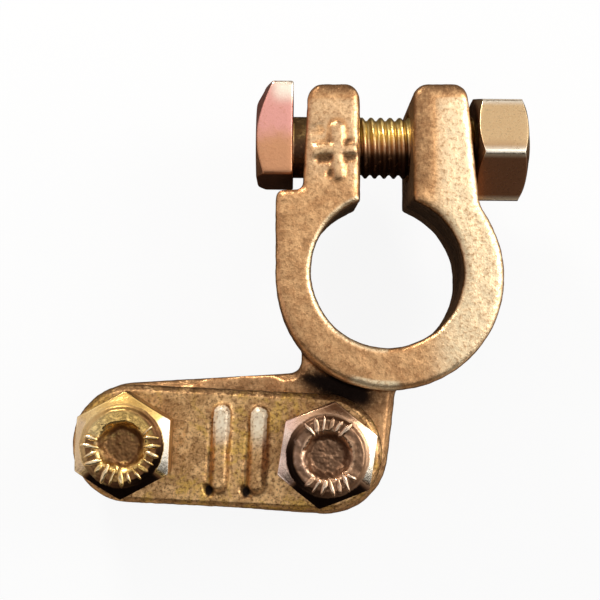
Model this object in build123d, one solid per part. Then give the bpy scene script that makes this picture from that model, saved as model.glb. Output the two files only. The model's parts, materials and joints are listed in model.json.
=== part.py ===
from build123d import *
from math import cos, radians, sin, sqrt, tan
import os

# Battery terminal clamp: a split ring with two ears, drawn shut by a square-headed bolt and a nut,
# and a side arm on which a ribbed strap and two screws hold the cable.
#
# The frame: +Z runs up the battery post, the split of the ring opens towards +Y, and the origin is
# on the axis of the post at the ring's lower face. Lengths are in millimetres, angles in degrees.

# ---- Ring that grips the tapered post -------------------------------------------------------
ring_height = 16.0
bore_top_diameter = 18.8
post_taper = 1 / 9              # diameter gained for each millimetre of depth
bore_lip = 0.5                  # chamfer of both rims of the bore
ring_outer_diameter = 28.4
ring_shift_x = 0.35             # the outside is off the bore's axis: the wall is thickest
ring_shift_y = -0.5             # on the side away from the split
casting_round = 1.0             # rounding of the ring's and the ears' upper edges
casting_chamfer = 0.8           # chamfer of the casting's lower edges

# ---- Ears ------------------------------------------------------------------------------------
split_width = 6.6
ear_margin = 6.65               # from the clamp bolt's axis to the top of the ears
left_ear_width = 6.8            # measured along the clamp bolt
left_ear_draft = 3.0            # lean of the outer face of the left ear
right_ear_width = 7.45
right_ear_draft = 5.6           # lean of the outer face of the right ear
ear_corner_round = 1.9
right_shoulder_round = 4.0      # hollow where the right ear runs out into the ring
ledge_clearance = 2.05          # ledge to square head: the ledge stops the head turning
ledge_corner_round = 1.1
ledge_root_round = 0.9

# ---- Clamp bolt and nut ----------------------------------------------------------------------
thread_diameter = 8.0
thread_clearance = 0.05         # radial play in every tapped hole
clamp_bolt_y = 17.0             # where the bolt crosses the middle of the split
clamp_bolt_lean = 0.5           # the bolt hangs askew in its clearance hole
clamp_bolt_length = 30.5
clamp_hole_diameter = 9.0
head_gap = 1.6                  # head to left ear: the bolt isn't drawn up
square_head_width = 12.0
square_head_height = 4.75
square_head_crown = 5.6         # radius where the head's chamfer starts
square_head_offset = 1.35       # the forged head sits off the shank, away from the ring
nut_width = 13.0
nut_height = 6.6
nut_gap = 0.25                  # nut to the nearest point of the right ear
nut_turn = 14.0                 # the corner nearest the top is turned this far towards the ring
point_chamfer = 0.8             # at the end of each threaded shank

# ---- Arm that carries the cable --------------------------------------------------------------
arm_thickness = 5.5
arm_top = 2.0                   # above the ring's lower face
arm_edge_chamfer = 1.0
arm_left_radius = 8.0
arm_right_radius = 8.45
arm_left_inset = 0.5            # the arm's left end is drawn in under the strap
neck_left_x = -10.5
neck_right_x = 2.5
neck_length = 2.8               # from the ring's outside to the arm's edge, along the left side
neck_overlap = 1.65             # how far the neck runs in under the ring's wall
neck_root_round = 1.8           # hollow between the arm's edge and the neck
neck_side_round = 1.2           # hollow where the neck's sides meet the ring
neck_wall_round = 1.4           # hollow between the arm's upper face and the ring's wall
cable_groove_width = 12.0
cable_groove_depth = 1.5
cable_groove_shift = 0.9        # the groove lies this far to the right of the middle

# ---- Strap and its screws --------------------------------------------------------------------
screw_spacing = 26.3
strap_middle_x = -20.4
strap_offset = 9.95             # from the arm's edge that faces the ring to the strap's middle
strap_turn = -2.75
strap_length = 41.1
strap_width = 15.5
strap_thickness = 3.0
strap_edge_chamfer = 0.7
strap_foot_chamfer = 0.4        # on the lower edge
strap_hole_diameter = 8.8
strap_saddle_depth = 0.7
rib_width = 2.5
rib_length = 11.6
rib_height = 0.8
rib_chamfer = 0.6
rib_spacing = 4.9
rib_shift = 1.6                 # the pair of ribs lies this far to the right of the middle
screw_length = 12.0
screw_head_width = 12.0
screw_head_height = 5.3
screw_dish_diameter = 6.6       # forged recess in the top of the head
screw_dish_floor_diameter = 4.0
screw_dish_depth = 1.2
left_screw_turn = 28.0
right_screw_turn = 21.0

crown_inset = 0.75              # a hexagon's chamfer starts this far inside its flats
chamfer_angle = 30.0
cut_past = 1.0                  # how far a cutter runs past the face it opens

# ---- Places worked out from the sizes above --------------------------------------------------
ring_outer_radius = ring_outer_diameter / 2
bore_top_radius = bore_top_diameter / 2
left_wall_x = ring_shift_x - ring_outer_radius
thread_radius = thread_diameter / 2
tapped_radius = thread_radius + thread_clearance
bolt_middle_z = ring_height / 2
ear_top = clamp_bolt_y + ear_margin
ledge_height = clamp_bolt_y + square_head_offset - square_head_width / 2 - ledge_clearance
left_face_distance = split_width / 2 + left_ear_width
head_seat = -(left_face_distance + head_gap)
arm_bottom = arm_top - arm_thickness
strap_top = arm_top + strap_thickness


def ring_edge_y(x, side):
    """Y of the ring's outside: side is 1 towards the split and -1 away from it."""
    return ring_shift_y + side * sqrt(ring_outer_radius ** 2 - (x - ring_shift_x) ** 2)


neck_left_y = ring_edge_y(neck_left_x, -1)
neck_right_y = ring_edge_y(neck_right_x, -1)
arm_back_y = neck_left_y - neck_length
strap_middle_y = arm_back_y - strap_offset


def bore_radius(z):
    """Radius of the tapered bore at a height."""
    return bore_top_radius + (ring_height - z) * post_taper / 2


def along_bolt(distance):
    """Point of the clamp bolt's axis, at a distance from the middle of the split."""
    lean = radians(clamp_bolt_lean)
    return Vector(distance * cos(lean), clamp_bolt_y - distance * sin(lean), bolt_middle_z)


def seat_of_nut():
    """Distance along the bolt of the nut's inner face, where it just clears the drafted ear."""
    lean, slope = radians(clamp_bolt_lean), tan(radians(right_ear_draft))
    crown = nut_width / 2 - crown_inset
    face = split_width / 2 + right_ear_width + nut_gap + crown * (sin(lean) + slope * cos(lean))
    return face / (cos(lean) - slope * sin(lean))


def left_face_x(y):
    """X of the left ear's drafted outer face at a height up the ear."""
    foot = along_bolt(-left_face_distance)
    return foot.X + (y - foot.Y) * tan(radians(left_ear_draft))


def right_face_x(y):
    """X of the right ear's drafted outer face at a height up the ear."""
    slope = tan(radians(right_ear_draft))
    return split_width / 2 + right_ear_width + (clamp_bolt_y - y) * slope


def screw_place(side):
    """Centre of a strap screw: side is -1 for the left one and +1 for the right one."""
    turn = radians(strap_turn)
    reach = side * screw_spacing / 2
    return Vector(strap_middle_x + reach * cos(turn), strap_middle_y + reach * sin(turn))


def nearest_corner(outline, x, y):
    """The corner of a flat outline that lies nearest to a point."""
    return outline.vertices().sort_by_distance((x, y, 0))[0]


def top_rim(prism):
    """Edges round the upper face of an upright prism."""
    return prism.faces().sort_by(Axis.Z)[-1].edges()


def bottom_rim(prism):
    """Edges round the lower face of an upright prism."""
    return prism.faces().sort_by(Axis.Z)[0].edges()


# ---- Clamp body ------------------------------------------------------------------------------
def ring_outline():
    """Outside of the ring with both ears and the ledge, and the split between the ears."""
    ring = Pos(ring_shift_x, ring_shift_y) * Circle(ring_outer_radius)
    left_ear = make_face(Polyline(
        (left_wall_x, ring_shift_y), (left_wall_x, ledge_height),
        (left_face_x(ledge_height), ledge_height), (left_face_x(ear_top), ear_top),
        (0, ear_top), (0, ring_shift_y), close=True))
    right_ear = make_face(Polyline(
        (0, ring_shift_y), (0, ear_top), (right_face_x(ear_top), ear_top),
        (right_face_x(ring_shift_y), ring_shift_y), close=True))
    outline = ring + left_ear + right_ear
    shoulder_x = right_face_x(clamp_bolt_y)
    for x, y, radius in ((left_wall_x, ledge_height, ledge_corner_round),
                         (left_face_x(ledge_height), ledge_height, ledge_root_round),
                         (shoulder_x, ring_edge_y(shoulder_x, 1), right_shoulder_round)):
        outline = fillet(nearest_corner(outline, x, y), radius)
    outline -= Pos(0, ear_top) * Rectangle(split_width, 2 * ear_top)
    for x in (left_face_x(ear_top), -split_width / 2, split_width / 2, right_face_x(ear_top)):
        outline = fillet(nearest_corner(outline, x, ear_top), ear_corner_round)
    return outline


def bore_cutter():
    """Tapered bore with a chamfer at both mouths, carried down through the neck."""
    low, high = arm_bottom, ring_height
    over, under = high + cut_past, low - cut_past
    profile = make_face(Polyline(
        (0, under), (bore_radius(low) + bore_lip + cut_past, under),
        (bore_radius(low + bore_lip), low + bore_lip),
        (bore_radius(high - bore_lip), high - bore_lip),
        (bore_radius(high) + bore_lip + cut_past, over), (0, over), close=True))
    return revolve(Plane.XZ * profile, Axis.Z)


def bar_and_neck():
    """Arm seen from above: a bar with round ends, and the neck that runs in under the ring."""
    left = screw_place(-1) + Vector(arm_left_inset, 0)
    right = screw_place(1)
    root = Line((neck_left_x, arm_back_y), (neck_right_x, neck_right_y + neck_overlap))
    bar = make_hull([
        *(Pos(left.X, left.Y) * Circle(arm_left_radius)).edges(),
        *(Pos(right.X, right.Y) * Circle(arm_right_radius)).edges(), root])
    neck_end_y = neck_left_y + neck_overlap
    neck = make_face(root + Polyline(
        root @ 1, (neck_right_x, neck_end_y), (neck_left_x, neck_end_y), root @ 0))
    outline = bar + neck
    return fillet(nearest_corner(outline, neck_left_x, arm_back_y), neck_root_round)


def neck_sides():
    """Hollows that run the neck's sides out into the ring's wall, above the ring's chamfer."""
    outline = bar_and_neck() + Pos(ring_shift_x, ring_shift_y) * Circle(ring_outer_radius)
    for x, y in ((neck_left_x, neck_left_y), (neck_right_x, neck_right_y)):
        outline = fillet(nearest_corner(outline, x, y), neck_side_round)
    sides = extrude(Pos(0, 0, casting_chamfer) * outline, arm_top - casting_chamfer)
    sides = chamfer(top_rim(sides), arm_edge_chamfer)
    return split(sides, Plane.XZ.offset(-neck_left_y - neck_overlap), keep=Keep.TOP)


def neck_cove():
    """Hollow blend that carries the arm's upper face up the wall of the ring."""
    reach, wall = neck_wall_round, ring_outer_radius
    foot = arm_top - arm_edge_chamfer
    profile = make_face(
        Polyline((wall, arm_top + reach), (wall - reach, arm_top + reach), (wall - reach, foot),
                 (wall + reach, foot), (wall + reach, arm_top))
        + RadiusArc((wall + reach, arm_top), (wall, arm_top + reach), reach))
    cove = Pos(ring_shift_x, ring_shift_y) * revolve(Plane.XZ * profile, Axis.Z)
    over_the_arm = extrude(Pos(0, 0, foot) * bar_and_neck(), arm_edge_chamfer + reach, taper=45)
    return cove & over_the_arm


def cable_way(depth):
    """Round-bottomed bar of the cable groove's width, its lowest line at a depth below z = 0."""
    half = cable_groove_width / 2
    radius = (half ** 2 + depth ** 2) / (2 * depth)
    return Pos(cable_groove_shift, 0, radius - depth) * Rot(90, 0, 0) * Cylinder(
        radius, 2 * (strap_width + arm_right_radius))


def clamp_body():
    """The casting: ring, ears, ledge, neck and arm in one piece."""
    ring = extrude(ring_outline(), ring_height)
    ring = fillet(top_rim(ring), casting_round)
    ring = chamfer(bottom_rim(ring), casting_chamfer)
    arm = extrude(Pos(0, 0, arm_bottom) * bar_and_neck(), arm_thickness)
    arm = chamfer(top_rim(arm), arm_edge_chamfer)
    arm = chamfer(bottom_rim(arm), casting_chamfer)
    arm += neck_sides() + neck_cove()
    body = ring + (arm - strap_place(arm_top) * cable_way(cable_groove_depth))
    body -= bore_cutter()
    body -= clamp_bolt_frame() * Rot(0, 90, 0) * Cylinder(clamp_hole_diameter / 2, 3 * nut_width)
    for side in (-1, 1):
        hole = screw_place(side)
        body -= Pos(hole.X, hole.Y, arm_top) * Cylinder(tapped_radius, 4 * arm_thickness)
    return body


# ---- Cable strap -----------------------------------------------------------------------------
def strap_place(z):
    """Middle of the strap at a height, turned as the strap lies."""
    return Pos(strap_middle_x, strap_middle_y, z) * Rot(0, 0, strap_turn)


def rib():
    """Raised rib across the strap, with round ends and a chamfered top; it starts at z = 0."""
    bar = extrude(SlotOverall(rib_length, rib_width, rotation=90), 2 * rib_height)
    return Pos(0, 0, -rib_height) * chamfer(top_rim(bar), rib_chamfer)


def cable_strap():
    """Round-ended strap with two ribs above, and a shallow saddle for the cable below."""
    strap = extrude(SlotOverall(strap_length, strap_width), strap_thickness)
    strap = chamfer(top_rim(strap), strap_edge_chamfer)
    strap = chamfer(bottom_rim(strap), strap_foot_chamfer)
    strap -= mirror(cable_way(strap_saddle_depth), Plane.XY)
    for side in (-1, 1):
        strap += Pos(rib_shift + side * rib_spacing / 2, 0, strap_thickness) * rib()
        hole = Cylinder(strap_hole_diameter / 2, 4 * strap_thickness)
        strap -= Pos(side * screw_spacing / 2, 0) * hole
    return strap_place(arm_top) * strap


# ---- Fasteners -------------------------------------------------------------------------------
def chamfer_cone(radius, height, crown):
    """Turned blank of a head: flat to the crown, then falling away at the chamfer angle."""
    drop = (radius - crown) * tan(radians(chamfer_angle))
    profile = make_face(Polyline(
        (0, 0), (radius, 0), (radius, height - drop), (crown, height), (0, height), close=True))
    return revolve(Plane.XZ * profile, Axis.Z)


def shank(length):
    """Threaded shank at its outside diameter, hanging below its head, with a chamfered point."""
    bar = Cylinder(thread_radius, length, align=(Align.CENTER, Align.CENTER, Align.MAX))
    return chamfer(bottom_rim(bar), point_chamfer)


def clamp_bolt_frame(distance=0.0):
    """Place on the clamp bolt's axis: its X runs from the head to the nut."""
    middle = along_bolt(distance)
    return Pos(middle.X, middle.Y, middle.Z) * Rot(0, 0, -clamp_bolt_lean)


def clamp_bolt():
    """Square-headed bolt that passes both ears; its chamfer is turned about the shank's axis."""
    half, offset = square_head_width / 2, square_head_offset
    square = Pos(0, offset) * Rectangle(square_head_width, square_head_width)
    farthest = sqrt(half ** 2 + (half + offset) ** 2)
    blank = chamfer_cone(farthest, square_head_height, square_head_crown)
    bolt = (extrude(square, square_head_height) & blank) + shank(clamp_bolt_length)
    return clamp_bolt_frame(head_seat) * Rot(0, -90, 0) * bolt


def clamp_nut():
    """Hexagon nut, chamfered on both sides, on the end of the clamp bolt."""
    corner_radius = nut_width / sqrt(3)
    blank = chamfer_cone(corner_radius, nut_height / 2, nut_width / 2 - crown_inset)
    blank += mirror(blank, Plane.XY)
    nut = extrude(RegularPolygon(corner_radius, 6), nut_height / 2, both=True)
    nut = (nut & blank) - Cylinder(tapped_radius, 2 * nut_height)
    middle = seat_of_nut() + nut_height / 2
    return clamp_bolt_frame(middle) * Rot(nut_turn, 0, 0) * Rot(0, 90, 0) * nut


def strap_screw(side, turn):
    """Hexagon-headed screw with a dished head, through the strap into the arm."""
    corner_radius = screw_head_width / sqrt(3)
    head = extrude(RegularPolygon(corner_radius, 6), screw_head_height)
    head &= chamfer_cone(corner_radius, screw_head_height, screw_head_width / 2 - crown_inset)
    head -= Pos(0, 0, screw_head_height) * Cone(
        screw_dish_floor_diameter / 2, screw_dish_diameter / 2, screw_dish_depth,
        align=(Align.CENTER, Align.CENTER, Align.MAX))
    place = screw_place(side)
    return Pos(place.X, place.Y, strap_top) * Rot(0, 0, turn) * (head + shank(screw_length))


if __name__ == "__main__":
    os.makedirs("parts", exist_ok=True)
    pieces = {
        "clamp_body": clamp_body(),
        "cable_strap": cable_strap(),
        "clamp_bolt": clamp_bolt(),
        "clamp_nut": clamp_nut(),
        "strap_screw_left": strap_screw(-1, left_screw_turn),
        "strap_screw_right": strap_screw(1, right_screw_turn),
    }
    for name, piece in pieces.items():
        export_step(piece, f"parts/{name}.step")
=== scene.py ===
"""Looks of a battery terminal clamp: cast brass body and strap, plated bolt, nut and screws.

Sizes are in millimetres, and what goes to the frame, the camera or a lamp is in metres.
"""

import json
import logging
import math
from dataclasses import dataclass
from enum import Enum
from typing import Callable, NamedTuple, Optional, Sequence

import bmesh
import bpy
import numpy as np
from mathutils import Matrix, Vector, noise

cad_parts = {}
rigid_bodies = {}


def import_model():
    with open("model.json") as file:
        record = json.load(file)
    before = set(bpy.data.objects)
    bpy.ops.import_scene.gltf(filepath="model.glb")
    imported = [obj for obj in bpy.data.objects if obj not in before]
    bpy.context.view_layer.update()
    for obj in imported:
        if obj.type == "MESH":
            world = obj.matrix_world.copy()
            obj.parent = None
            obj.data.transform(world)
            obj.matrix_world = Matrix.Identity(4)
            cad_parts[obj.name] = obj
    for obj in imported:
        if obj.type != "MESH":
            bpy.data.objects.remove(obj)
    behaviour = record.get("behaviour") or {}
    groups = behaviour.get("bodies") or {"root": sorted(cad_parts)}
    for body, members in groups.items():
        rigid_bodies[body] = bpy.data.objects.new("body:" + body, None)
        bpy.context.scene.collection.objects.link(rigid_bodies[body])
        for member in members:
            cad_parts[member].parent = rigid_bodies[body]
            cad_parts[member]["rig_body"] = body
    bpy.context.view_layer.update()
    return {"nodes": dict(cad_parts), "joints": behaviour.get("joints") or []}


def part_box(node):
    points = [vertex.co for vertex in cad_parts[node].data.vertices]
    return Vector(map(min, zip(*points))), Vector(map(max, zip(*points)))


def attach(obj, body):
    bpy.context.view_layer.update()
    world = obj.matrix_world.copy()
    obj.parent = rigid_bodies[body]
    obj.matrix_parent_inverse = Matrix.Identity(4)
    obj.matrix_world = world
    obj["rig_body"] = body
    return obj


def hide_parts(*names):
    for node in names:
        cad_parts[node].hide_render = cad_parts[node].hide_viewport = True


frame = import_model()

LOG = logging.getLogger("battery_clamp")
MM = 0.001
HALF_SIDE = math.pi / 6         # from the middle of a hexagon's side to its corner
LOOKS_UP = 0.35                 # least upward part of the normal where a face looks up
FULL_HOLLOW = 0.12              # depth of a hollow that counts in full, in millimetres
HOLLOW_ROUNDS = 6               # rounds of averaging that find the hollows
STROKE_SIDE = (0.75, 0.25)      # foot and top of a stroke's side, from its middle, over its width
BUMP_NOISE = (0.7, 2.0, 3)      # fall-off, lacunarity and octaves of the bumps' noise
LIGHT_AND_GRIME = "light_and_grime"                 # the painted layer that the finishes read: painted shade and highlights, with some grime and wear
THREAD_RADIUS = 3.99
PITCH = 1.25
SHANK_IN_HEAD = 0.2             # length of a shank that is sunk in its head

Colour = tuple[float, float, float]
Place = tuple[float, float, float]
Span = tuple[float, float]

BLACK: Colour = (0.012, 0.006, 0.004)
BLACK_FROM: Span = (0.75, 1.0)  # painted value over which a finish turns black, which paints deep shadow


def smooth_step(value: float, low: float, high: float) -> float:
    """Rise smoothly from 0 at low to 1 at high.

    Args:
        value: The number to place.
        low: Where the rise starts; it may be the larger number.
        high: Where it ends.

    Returns:
        A number from 0 to 1.
    """
    share = min(1.0, max(0.0, (value - low) / (high - low)))
    return share * share * (3 - 2 * share)


class Fade(NamedTuple):
    """A smooth change from 0 at its start to its full value at its end."""

    start: float
    end: float
    full: float = 1.0

    def at(self, value: float) -> float:
        """How far the fade has come at a value."""
        return self.full * smooth_step(value, self.start, self.end)


class Spot(NamedTuple):
    """A point of a piece: its place in millimetres, its normal and how hollow it lies."""

    place: Vector
    normal: Vector
    hollow: float


def joint_named(name: str) -> dict:
    """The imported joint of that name."""
    return next(joint for joint in frame["joints"] if joint["name"] == name)


# ---- Node trees ------------------------------------------------------------------------------
class Value:
    """An output in a node tree; sums and products of it are Math nodes."""

    def __init__(self, nodes: "Nodes", socket: bpy.types.NodeSocket) -> None:
        """Wrap an output."""
        self.nodes = nodes
        self.socket = socket

    def __add__(self, other: object) -> "Value":
        """Sum of two numbers."""
        return self.nodes.math("ADD", self, other)

    def __sub__(self, other: object) -> "Value":
        """Difference of two numbers."""
        return self.nodes.math("SUBTRACT", self, other)

    def __mul__(self, other: object) -> "Value":
        """Product of two numbers."""
        return self.nodes.math("MULTIPLY", self, other)

    def __truediv__(self, other: object) -> "Value":
        """One number over another."""
        return self.nodes.math("DIVIDE", self, other)

    def rise(self, low: object, high: object) -> "Value":
        """Smooth step from 0 at low to 1 at high; low may be the larger number."""
        inputs = {"Value": self, "From Min": low, "From Max": high}
        return self.nodes.value("ShaderNodeMapRange", inputs, interpolation_type="SMOOTHSTEP")


class Nodes:
    """Adds and links the nodes of one tree."""

    def __init__(self, tree: bpy.types.NodeTree) -> None:
        """Work on a tree."""
        self.tree = tree

    def feed(self, socket: bpy.types.NodeSocket, value: object) -> None:
        """Link an input to a Value, or give it a plain value; a colour comes without its alpha."""
        if isinstance(value, Value):
            self.tree.links.new(value.socket, socket)
        else:
            socket.default_value = (*value, 1.0) if socket.type == "RGBA" else value

    def node(self, kind: str, inputs: dict, **settings: object) -> bpy.types.Node:
        """Add a node.

        Args:
            kind: Its type.
            inputs: What its inputs get, by their names or numbers.
            settings: Its properties.

        Returns:
            The node.
        """
        made = self.tree.nodes.new(kind)
        for key, setting in settings.items():
            setattr(made, key, setting)
        for key, value in inputs.items():
            self.feed(made.inputs[key], value)
        return made

    def value(self, kind: str, inputs: dict, output: int | str = 0, **settings: object) -> Value:
        """One output of a new node, given by its name or number."""
        return Value(self, self.node(kind, inputs, **settings).outputs[output])

    def math(self, operation: str, first: object, second: object = 0.0) -> Value:
        """Output of one Math node."""
        return self.value("ShaderNodeMath", {0: first, 1: second}, operation=operation)

    def parts(self, vector: Value) -> tuple[Value, ...]:
        """X, Y and Z of a vector."""
        split = self.node("ShaderNodeSeparateXYZ", {0: vector})
        return tuple(Value(self, output) for output in split.outputs)

    def joined(self, x: object, y: object, z: object) -> Value:
        """The vector of three numbers."""
        return self.value("ShaderNodeCombineXYZ", {0: x, 1: y, 2: z})


@dataclass(frozen=True)
class Speckle:
    """Noise in a finish, which shows between two of its levels."""

    per_mm: float
    levels: Span = (0.0, 1.0)
    detail: float = 3.0
    roughness: float = 0.6
    distortion: float = 0.0


class Graph(Nodes):
    """Node graph of one material, in millimetres on the object's own coordinates."""

    def __init__(self, name: str) -> None:
        """Start an empty material.

        Args:
            name: Name of the material.
        """
        self.material = bpy.data.materials.new(name)
        self.material.use_nodes = True
        super().__init__(self.material.node_tree)
        self.tree.nodes.clear()
        place = self.value("ShaderNodeTexCoord", {}, "Object")
        self.millimetres = self.value("ShaderNodeVectorMath", {0: place, "Scale": 1 / MM},
                                      operation="SCALE")

    def coated(self, colour: object, coats: Sequence[tuple[Value, Colour]]) -> Value:
        """Lay coats over a colour.

        Args:
            colour: The colour below.
            coats: For each coat, how much of it covers a place, and its colour.

        Returns:
            The colour that shows.
        """
        for share, coat in coats:
            colour = self.value("ShaderNodeMix", {"Factor": share, 6: colour, 7: coat}, 2,
                                data_type="RGBA")
        return colour

    def noise(self, speckle: Speckle) -> Value:
        """A speckle's noise."""
        return self.value("ShaderNodeTexNoise", {
            "Vector": self.millimetres, "Scale": speckle.per_mm, "Detail": speckle.detail,
            "Roughness": speckle.roughness, "Distortion": speckle.distortion}, "Fac")

    def shown(self, speckle: Speckle) -> Value:
        """Where a speckle shows, from 0 to 1."""
        return self.noise(speckle).rise(*speckle.levels)

    def painted(self) -> Value:
        """The piece's painted layer: shade and highlights, with some grime and wear."""
        return self.value("ShaderNodeAttribute", {}, "Fac", attribute_name=LIGHT_AND_GRIME)

    def bump(self, height: Value, depth: float) -> Value:
        """Normal that shows a relief of a depth in millimetres."""
        return self.value("ShaderNodeBump", {"Distance": depth * MM, "Height": height})

    def close(self, shader: str, inputs: dict) -> bpy.types.Material:
        """End the graph with a shader.

        Args:
            shader: Its type.
            inputs: What its inputs get.

        Returns:
            The material.
        """
        self.node("ShaderNodeOutputMaterial", {"Surface": self.value(shader, inputs)})
        return self.material


@dataclass(frozen=True)
class CastBrass:
    """Tumbled brass casting with speckled tarnish, darker in its hollows and where shade is painted,
    paler where highlights are painted.
    """

    name: str
    lit: Colour
    middle: Colour
    dark: Colour
    # Colour of the dark coat: painted shade, with grime and tarnish in the hollows.
    hollow: Colour
    # Colour of the pale coat: painted highlights, with some wear.
    wear_and_sheen: Colour
    speckling: float
    roughness: float = 0.34
    olive: Optional[Colour] = None
    matt: float = 0.0           # how much less metallic the places under the pale coat are
    metal: float = 0.9
    relief: float = 0.085
    pale_from: float = -0.9     # painted value at which the pale coat of highlights and wear covers in full
    # Levels of the grain between which the pale coat and the dark coat take hold.
    pale_grain: Span = (0.8, 0.4)
    dark_grain: Span = (0.1, 0.5)
    grain_roughness: float = 0.3
    dark_roughness: float = 0.2
    grain_relief: float = 0.65
    mottle: Speckle = Speckle(0.5, (0.38, 0.62), 4.0, 0.62)
    patches: Speckle = Speckle(0.20, (0.50, 0.62), 3.0, 0.7, 0.6)
    patching: float = 0.8
    grain: Speckle = Speckle(2.2, (0.43, 0.68), 3.0, 0.66)
    sparks: Speckle = Speckle(4.2, (0.54, 0.70), 2.0)
    sparkling: float = 0.55

    def material(self) -> bpy.types.Material:
        """Build the finish."""
        graph = Graph(self.name)
        grain, fine, painted = graph.noise(self.grain), graph.noise(self.sparks), graph.painted()
        # The pale coat paints highlights and wear; the dark coat paints shade, grime and tarnish.
        wear_and_sheen = painted.rise(0.0, self.pale_from) * grain.rise(*self.pale_grain)
        light_and_grime = painted.rise(0.0, 1.0) * grain.rise(*self.dark_grain)
        coats = [(graph.shown(self.mottle), self.lit)]
        if self.olive:
            coats.append((graph.shown(self.patches) * self.patching, self.olive))
        coats += [(grain.rise(*self.grain.levels) * self.speckling, self.dark),
                  (fine.rise(*self.sparks.levels) * self.sparkling, self.lit),
                  (wear_and_sheen, self.wear_and_sheen), (light_and_grime, self.hollow),
                  (painted.rise(*BLACK_FROM), BLACK)]
        base = self.roughness - self.grain_roughness / 2
        rough = grain * self.grain_roughness + base + light_and_grime * self.dark_roughness
        height = grain * self.grain_relief + fine * (1 - self.grain_relief)
        return graph.close("ShaderNodeBsdfPrincipled", {
            "Base Color": graph.coated(self.middle, coats),
            "Metallic": graph.math("SUBTRACT", self.metal, wear_and_sheen * self.matt),
            "Roughness": rough, "Normal": graph.bump(height, self.relief)})


@dataclass(frozen=True)
class YellowZinc:
    """Bright zinc plating whose colour drifts: a chromate tint, or painted light and shade on thread
    and nut.
    """

    name: str
    first: Colour
    second: Colour
    dark: Colour
    tint_and_light_along: Place                # the tint, or the painted light and shade, drifts along this
    tint_and_light_over: Span
    roughness: float
    wander: float = 4.0
    speckling: float = 0.35
    # Colour of the pale coat, which paints highlights on facets, corners and ridges.
    wear_and_sheen: Colour = (1.0, 0.90, 0.74)
    relief: float = 0.025
    dark_to: float = 0.8       # painted value at which the dark coat of painted shade and grime covers in full
    speck_roughness: float = 0.2
    dark_roughness: float = 0.25
    blotches: Speckle = Speckle(0.4, distortion=0.5)
    specks: Speckle = Speckle(2.6, (0.52, 0.72), roughness=0.65)
    stains: Speckle = Speckle(1.1, (0.10, 0.48))

    def material(self) -> bpy.types.Material:
        """Build the finish."""
        graph = Graph(self.name)
        speck, painted = graph.noise(self.specks), graph.painted()
        along = graph.value("ShaderNodeVectorMath", {0: graph.millimetres, 1: self.tint_and_light_along}, "Value",
                            operation="DOT_PRODUCT")
        place = along + (graph.noise(self.blotches) - 0.5) * self.wander
        light_and_grime = painted.rise(0.0, self.dark_to) * graph.shown(self.stains)
        coats = [(place.rise(*self.tint_and_light_over), self.second),
                 (speck.rise(*self.specks.levels) * self.speckling, self.dark),
                 (painted.rise(0.0, -1.0), self.wear_and_sheen), (light_and_grime, self.dark),
                 (painted.rise(*BLACK_FROM), BLACK)]
        base = self.roughness - self.speck_roughness / 2
        rough = speck * self.speck_roughness + base + light_and_grime * self.dark_roughness
        return graph.close("ShaderNodeBsdfPrincipled", {
            "Base Color": graph.coated(self.first, coats), "Metallic": 1.0,
            "Roughness": rough, "Normal": graph.bump(speck, self.relief)})


class Finish(Enum):
    """The finishes of the clamp's pieces."""

    BODY = CastBrass("cast_brass", lit=(0.80, 0.46, 0.215), middle=(0.56, 0.29, 0.125),
                     dark=(0.32, 0.155, 0.065), hollow=(0.050, 0.022, 0.010),
                     wear_and_sheen=(0.97, 0.78, 0.50), speckling=0.75)
    STRAP = CastBrass("tarnished_brass", lit=(0.93, 0.57, 0.26), middle=(0.54, 0.295, 0.12),
                      dark=(0.18, 0.082, 0.032), hollow=(0.030, 0.014, 0.008),
                      wear_and_sheen=(1.0, 0.86, 0.64), olive=(0.74, 0.45, 0.10), roughness=0.36,
                      speckling=0.9, matt=0.65)
    BOLT_HEAD = YellowZinc("rosy_zinc", first=(0.62, 0.30, 0.155), second=(0.76, 0.355, 0.30),
                           dark=(0.40, 0.17, 0.08), tint_and_light_along=(0.1, 1.0, 0.0),
                           tint_and_light_over=(14.0, 18.0), roughness=0.34, speckling=0.3)
    # On the thread the drift along Y is painted light: lit above, shaded below.
    THREAD = YellowZinc("lit_and_shaded_thread", first=(0.60, 0.34, 0.18), second=(1.0, 0.75, 0.28),
                        dark=(0.075, 0.036, 0.020), tint_and_light_along=(0.0, 1.0, 0.0),
                        tint_and_light_over=(16.4, 18.2), wander=1.2, roughness=0.30)
    # On the nut the drift along Y is painted light: its upper facet lit, its lower facet shaded.
    NUT = YellowZinc("olive_zinc", first=(0.42, 0.215, 0.125), second=(0.90, 0.66, 0.38),
                     dark=(0.14, 0.065, 0.03), tint_and_light_along=(0.0, 1.0, 0.0),
                     tint_and_light_over=(14.0, 17.0), wander=1.5, roughness=0.30,
                     speckling=0.3)
    LEFT_SCREW = YellowZinc("golden_zinc", first=(0.98, 0.72, 0.33), second=(0.80, 0.52, 0.17),
                            dark=(0.17, 0.078, 0.034), tint_and_light_along=(1.0, 0.0, 0.0),
                            tint_and_light_over=(-38.0, -34.0), roughness=0.24)
    RIGHT_SCREW = YellowZinc("brown_zinc", first=(0.94, 0.64, 0.54), second=(0.62, 0.38, 0.23),
                             dark=(0.15, 0.078, 0.044), tint_and_light_along=(1.0, 0.0, 0.0),
                             tint_and_light_over=(-14.0, -9.0), roughness=0.24)

    def material(self) -> bpy.types.Material:
        """Build this finish's material."""
        return self.value.material()


# ---- Mesh tools ------------------------------------------------------------------------------
def new_piece(name: str, mesh: bpy.types.Mesh) -> bpy.types.Object:
    """Link a new object for a mesh.

    Args:
        name: Name of the object.
        mesh: Its mesh.

    Returns:
        The object.
    """
    piece = bpy.data.objects.new(name, mesh)
    bpy.context.scene.collection.objects.link(piece)
    return piece


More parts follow.
